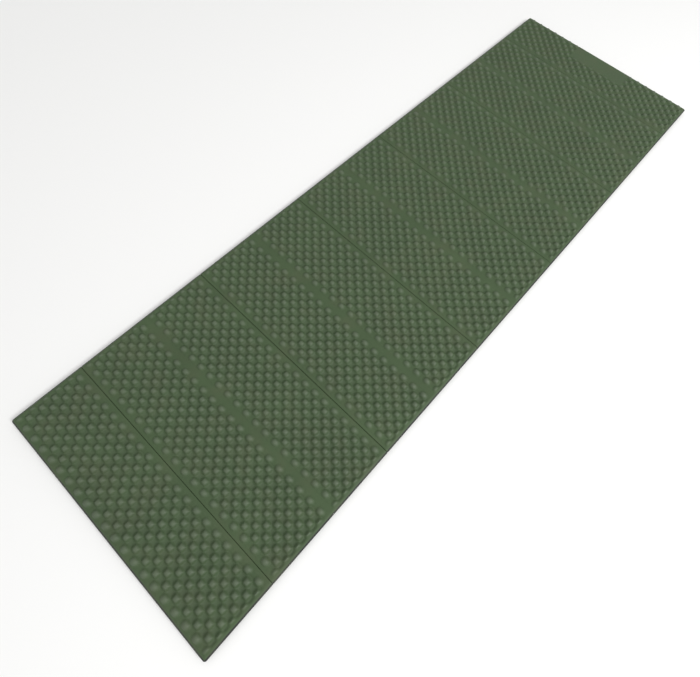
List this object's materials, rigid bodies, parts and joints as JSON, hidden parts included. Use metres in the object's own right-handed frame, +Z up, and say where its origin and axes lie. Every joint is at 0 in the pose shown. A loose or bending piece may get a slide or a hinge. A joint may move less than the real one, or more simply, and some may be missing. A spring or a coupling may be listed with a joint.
{
  "type": "foam sleeping pad",
  "caption": "Closed-cell foam sleeping pad of moulded bump-textured panels that folds flat along pressed fold lines like an accordion.",
  "frame": {"origin": "centre of the pad's outline at the plane it lies on", "axes": "+Z up from the underside, +Y along the pad's length towards the end with the plain patch, +X across its width"},
  "size_m": [0.57, 1.83, 0.018],
  "materials": {
    "foam": "matte closed-cell foam, olive green",
    "fold_web": "matte pressed foam, olive green"
  },
  "bodies": {
    "panel_01": {"foam_panel_01": "foam"},
    "panel_02": {"foam_panel_02": "foam", "fold_web_01": "fold_web"},
    "panel_03": {"foam_panel_03": "foam", "fold_web_02": "fold_web"},
    "panel_04": {"foam_panel_04": "foam", "fold_web_03": "fold_web"},
    "panel_05": {"foam_panel_05": "foam", "fold_web_04": "fold_web"},
    "panel_06": {"foam_panel_06": "foam", "fold_web_05": "fold_web", "fold_web_06": "fold_web"},
    "panel_07": {"foam_panel_07": "foam", "fold_web_07": "fold_web"},
    "panel_08": {"foam_panel_08": "foam", "fold_web_08": "fold_web"},
    "panel_09": {"foam_panel_09": "foam", "fold_web_09": "fold_web"},
    "panel_10": {"foam_panel_10": "foam", "fold_web_10": "fold_web"},
    "panel_11": {"foam_panel_11": "foam", "fold_web_11": "fold_web"},
    "panel_12": {"foam_panel_12": "foam"}
  },
  "joints": [
    {"name": "fold_01", "type": "hinge", "parent": "panel_02", "child": "panel_01", "pos_m": [0, -0.7625, -0.00015], "axis": [1, 0, 0], "range_deg": [0, 180]},
    {"name": "fold_02", "type": "hinge", "parent": "panel_03", "child": "panel_02", "pos_m": [0, -0.61, 0.01815], "axis": [-1, 0, 0], "range_deg": [0, 180]},
    {"name": "fold_03", "type": "hinge", "parent": "panel_04", "child": "panel_03", "pos_m": [0, -0.4575, -0.00015], "axis": [1, 0, 0], "range_deg": [0, 180]},
    {"name": "fold_04", "type": "hinge", "parent": "panel_05", "child": "panel_04", "pos_m": [0, -0.305, 0.01815], "axis": [-1, 0, 0], "range_deg": [0, 180]},
    {"name": "fold_05", "type": "hinge", "parent": "panel_06", "child": "panel_05", "pos_m": [0, -0.1525, -0.00015], "axis": [1, 0, 0], "range_deg": [0, 180]},
    {"name": "fold_06", "type": "hinge", "parent": "panel_06", "child": "panel_07", "pos_m": [0, 0, 0.01815], "axis": [1, 0, 0], "range_deg": [0, 180]},
    {"name": "fold_07", "type": "hinge", "parent": "panel_07", "child": "panel_08", "pos_m": [0, 0.1525, -0.00015], "axis": [-1, 0, 0], "range_deg": [0, 180]},
    {"name": "fold_08", "type": "hinge", "parent": "panel_08", "child": "panel_09", "pos_m": [0, 0.305, 0.01815], "axis": [1, 0, 0], "range_deg": [0, 180]},
    {"name": "fold_09", "type": "hinge", "parent": "panel_09", "child": "panel_10", "pos_m": [0, 0.4575, -0.00015], "axis": [-1, 0, 0], "range_deg": [0, 180]},
    {"name": "fold_10", "type": "hinge", "parent": "panel_10", "child": "panel_11", "pos_m": [0, 0.61, 0.01815], "axis": [1, 0, 0], "range_deg": [0, 180]},
    {"name": "fold_11", "type": "hinge", "parent": "panel_11", "child": "panel_12", "pos_m": [0, 0.7625, -0.00015], "axis": [-1, 0, 0], "range_deg": [0, 180]}
  ]
}
